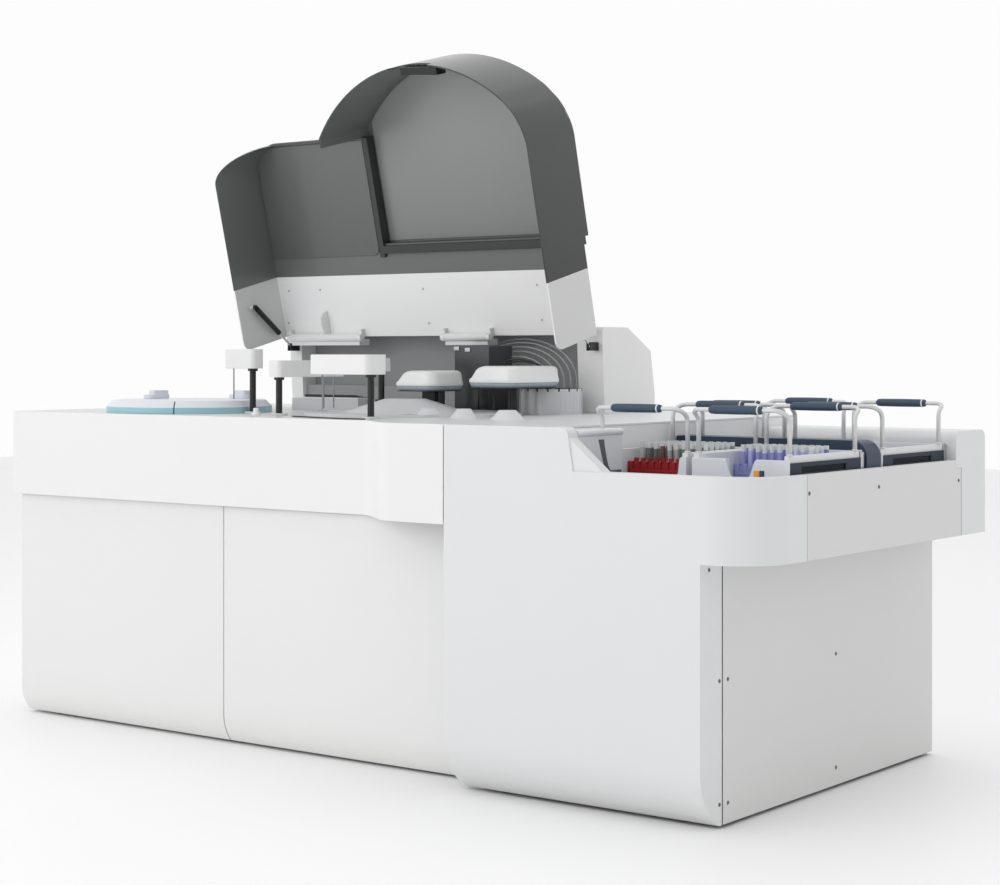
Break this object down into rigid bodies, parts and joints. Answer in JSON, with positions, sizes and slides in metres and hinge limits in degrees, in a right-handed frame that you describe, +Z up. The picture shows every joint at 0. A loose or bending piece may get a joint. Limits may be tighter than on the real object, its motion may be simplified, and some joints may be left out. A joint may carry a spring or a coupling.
{
  "type": "chemistry analyzer",
  "caption": "Floor-standing clinical chemistry analyzer with raised smoked canopy, reagent disc, pipetting arms and a sample loader with handled rack baskets.",
  "frame": {"origin": "centre of the machine's outline on the floor", "axes": "+X to the loader on the right, +Y to the back, +Z up"},
  "size_m": [2.7706, 1.315, 2.0484],
  "materials": {
    "white_shell": "satin moulded white",
    "panel": "satin painted steel",
    "frame_steel": "powder coated",
    "foot_rubber": "matt",
    "door_white": "satin painted steel",
    "tray_blue": "matt",
    "slate": "matt",
    "grey_wall": "matt",
    "black_plastic": "matt",
    "smoked": "smoked clear plastic",
    "steel": "brushed",
    "cover_blue": "satin",
    "tub_grey": "matt",
    "tank": "translucent white",
    "pump_grey": "satin",
    "arm_white": "satin",
    "basket": "matt",
    "handle_grey": "satin",
    "rack_red": "gloss",
    "rack_grey": "gloss",
    "rack_purple": "gloss",
    "rod_chrome": "polished"
  },
  "bodies": {
    "machine": {"base_frame": "frame_steel", "levelling_feet": "foot_rubber", "left_side_panel": "panel", "divider_panel": "panel", "rear_panels": "panel", "front_fascia": "white_shell", "analyzer_deck": "white_shell", "loader_front_cover": "white_shell", "loader_side_panel": "panel", "loader_rim_panel": "white_shell", "loader_rear_cover": "white_shell", "loader_tray": "tray_blue", "track_cover": "slate", "rear_housing": "white_shell", "rear_wall_panel": "grey_wall", "strut_brackets": "black_plastic", "canopy_hinges": "white_shell", "panel_screws": "steel", "splash_screen": "smoked", "silver_drum": "steel", "arm_guides": "arm_white", "reaction_cover": "arm_white", "reagent_tub": "tub_grey", "reaction_bath": "tub_grey", "fluid_tanks": "tank", "pump_unit": "pump_grey", "door_hinges": "steel", "reagent_cover_left": "cover_blue", "reagent_cover_right": "cover_blue", "basket_front_left": "basket", "basket_front_right": "basket", "basket_rear_left": "basket", "basket_rear_right": "basket", "handles_front_left": "handle_grey", "handles_front_right": "handle_grey", "handles_rear_left": "handle_grey", "handles_rear_right": "handle_grey", "red_rack": "rack_red", "grey_racks": "rack_grey", "purple_racks": "rack_purple"},
    "left_door": {"left_door": "door_white"},
    "right_door": {"right_door": "door_white"},
    "canopy": {"canopy_frame": "white_shell", "canopy_lid": "smoked"},
    "left_strut_rod_body": {"left_strut_rod": "rod_chrome"},
    "left_strut_cylinder_body": {"left_strut_cylinder": "black_plastic"},
    "right_strut_rod_body": {"right_strut_rod": "rod_chrome"},
    "right_strut_cylinder_body": {"right_strut_cylinder": "black_plastic"},
    "reagent_disc": {"reagent_carousel": "tub_grey"},
    "reaction_wheel": {"cuvette_wheel": "tub_grey"},
    "reagent_arm_lift": {"reagent_arm_post": "black_plastic"},
    "reagent_arm_head": {"reagent_arm": "arm_white"},
    "second_arm_lift": {"second_arm_post": "black_plastic"},
    "second_arm_head": {"second_arm": "arm_white"},
    "sample_arm_lift": {"sample_arm_post": "black_plastic"},
    "sample_arm_head": {"sample_arm": "arm_white"},
    "mixer_lift": {"mixer_post": "black_plastic"},
    "mixer_head": {"mixer_arm": "arm_white"},
    "left_wash_lift": {"left_wash_head": "arm_white"},
    "right_wash_lift": {"right_wash_head": "arm_white"}
  },
  "joints": [
    {"name": "left_door_hinge", "type": "hinge", "parent": "machine", "child": "left_door", "pos_m": [-1.3505, -0.5035, 0.35], "axis": [0, 0, -1], "range_deg": [0, 90]},
    {"name": "right_door_hinge", "type": "hinge", "parent": "machine", "child": "right_door", "pos_m": [0.4405, -0.5035, 0.35], "axis": [0, 0, 1], "range_deg": [0, 90]},
    {"name": "canopy_hinge", "type": "hinge", "parent": "machine", "child": "canopy", "pos_m": [-0.3835, 0.3135, 1.184], "axis": [1, 0, 0], "range_deg": [0, 76]},
    {"name": "left_strut_pivot", "type": "hinge", "parent": "machine", "child": "left_strut_rod_body", "pos_m": [-0.9965, 0.3375, 1.154], "axis": [1, 0, 0], "range_deg": [0, 67.4]},
    {"name": "left_strut_slide", "type": "slide", "parent": "left_strut_rod_body", "child": "left_strut_cylinder_body", "axis": [0, -0.8059, 0.5921], "range_m": [-0.0358, 0]},
    {"name": "right_strut_pivot", "type": "hinge", "parent": "machine", "child": "right_strut_rod_body", "pos_m": [0.2295, 0.3375, 1.154], "axis": [1, 0, 0], "range_deg": [0, 67.4]},
    {"name": "right_strut_slide", "type": "slide", "parent": "right_strut_rod_body", "child": "right_strut_cylinder_body", "axis": [0, -0.8059, 0.5921], "range_m": [-0.0358, 0]},
    {"name": "reagent_disc_spin", "type": "hinge", "parent": "machine", "child": "reagent_disc", "pos_m": [-0.8795, -0.2555, 0.76], "axis": [0, 0, 1], "continuous": true},
    {"name": "reaction_wheel_spin", "type": "hinge", "parent": "machine", "child": "reaction_wheel", "pos_m": [-0.0745, -0.0555, 0.926], "axis": [0, 0, 1], "continuous": true},
    {"name": "reagent_arm_up", "type": "slide", "parent": "machine", "child": "reagent_arm_lift", "axis": [0, 0, 1], "range_m": [-0.012, 0.03]},
    {"name": "reagent_arm_swing", "type": "hinge", "parent": "reagent_arm_lift", "child": "reagent_arm_head", "pos_m": [-0.5985, -0.2655, 1.1], "axis": [0, 0, 1], "range_deg": [-60, 60]},
    {"name": "second_arm_up", "type": "slide", "parent": "machine", "child": "second_arm_lift", "axis": [0, 0, 1], "range_m": [-0.005, 0.045]},
    {"name": "second_arm_swing", "type": "hinge", "parent": "second_arm_lift", "child": "second_arm_head", "pos_m": [-0.4055, -0.3555, 1.08], "axis": [0, 0, 1], "range_deg": [-15, 35]},
    {"name": "sample_arm_up", "type": "slide", "parent": "machine", "child": "sample_arm_lift", "axis": [0, 0, 1], "range_m": [-0.01, 0.045]},
    {"name": "sample_arm_swing", "type": "hinge", "parent": "sample_arm_lift", "child": "sample_arm_head", "pos_m": [0.0165, -0.4335, 1.09], "axis": [0, 0, 1], "range_deg": [-90, 0]},
    {"name": "mixer_up", "type": "slide", "parent": "machine", "child": "mixer_lift", "axis": [0, 0, 1], "range_m": [0, 0.045]},
    {"name": "mixer_swing", "type": "hinge", "parent": "mixer_lift", "child": "mixer_head", "pos_m": [-0.3175, 0.0045, 1.09], "axis": [0, 0, 1], "range_deg": [0, 150]},
    {"name": "left_wash_up", "type": "slide", "parent": "machine", "child": "left_wash_lift", "axis": [0, 0, 1], "range_m": [0, 0.04]},
    {"name": "right_wash_up", "type": "slide", "parent": "machine", "child": "right_wash_lift", "axis": [0, 0, 1], "range_m": [0, 0.04]}
  ],
  "couplings": [
    {"joint": "left_strut_pivot", "follows": "canopy_hinge", "ratio": 0.88375},
    {"joint": "right_strut_pivot", "follows": "canopy_hinge", "ratio": 0.88375},
    {"joint": "left_strut_slide", "follows": "canopy_hinge", "m_per_rad": -0.026838},
    {"joint": "right_strut_slide", "follows": "canopy_hinge", "m_per_rad": -0.026838}
  ]
}
